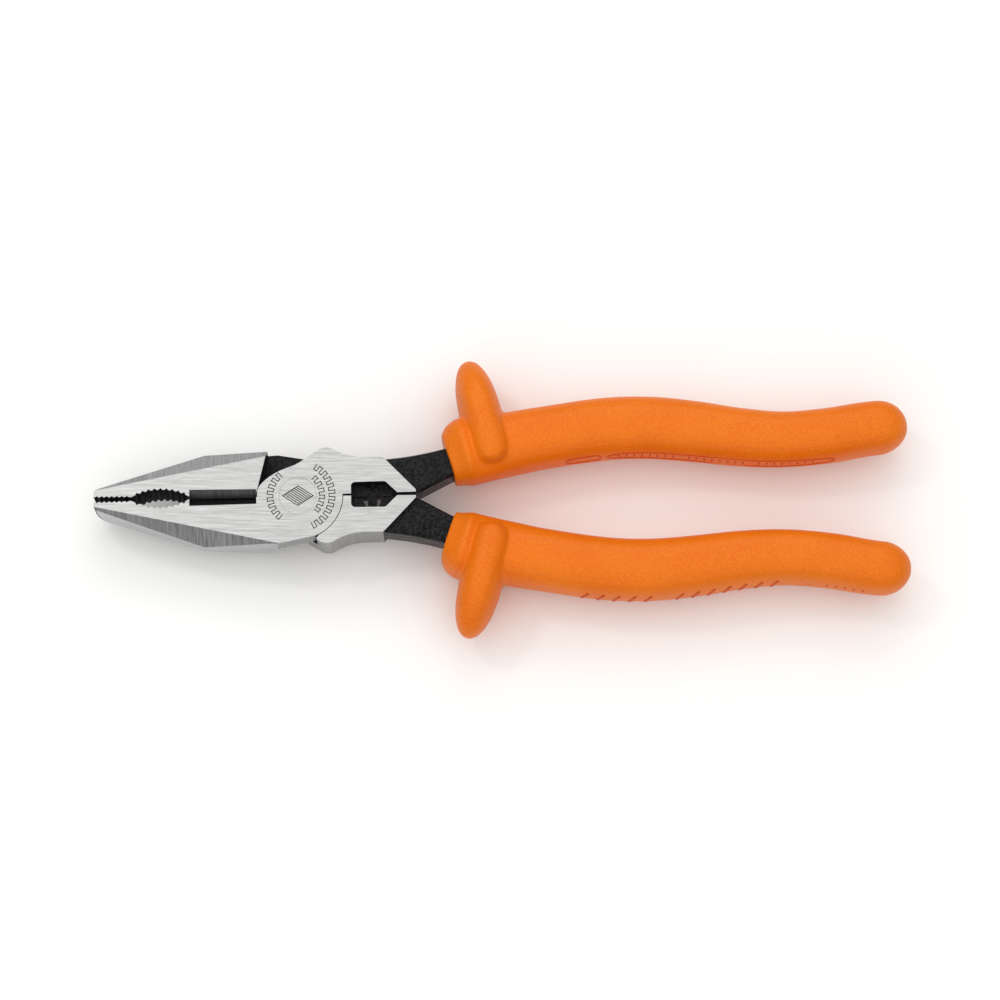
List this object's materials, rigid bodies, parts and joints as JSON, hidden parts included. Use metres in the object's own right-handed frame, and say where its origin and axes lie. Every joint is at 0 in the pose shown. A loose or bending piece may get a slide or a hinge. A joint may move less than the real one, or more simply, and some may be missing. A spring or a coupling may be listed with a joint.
{
  "type": "insulated lineman pliers",
  "caption": "Insulated side-cutting pliers: two forged halves on a rivet, with pipe grip, cutters, crimping die and moulded grips with finger guards.",
  "frame": {"origin": "pivot axis where it meets the flat underside of the head", "axes": "+X from the pivot along the tool to the handle ends, +Y to the front half's handle, +Z from the underside to the front face, square to both faces and along the pivot"},
  "size_m": [0.2199, 0.0768, 0.0231],
  "materials": {
    "forged_steel": "ground faces, black painted tangs",
    "rivet_steel": "ground flush",
    "inner_insulation": "moulded",
    "outer_insulation": "satin, fine grain"
  },
  "bodies": {
    "back_arm": {"back_half": "forged_steel", "pivot_rivet": "rivet_steel", "inner_sleeve_lower": "inner_insulation", "outer_grip_lower": "outer_insulation"},
    "front_arm": {"front_half": "forged_steel", "inner_sleeve_upper": "inner_insulation", "outer_grip_upper": "outer_insulation"}
  },
  "joints": [
    {"name": "pivot", "type": "hinge", "parent": "back_arm", "child": "front_arm", "pos_m": [0, 0, 0.00635], "axis": [0, 0, 1], "range_deg": [-1.1, 25]}
  ]
}
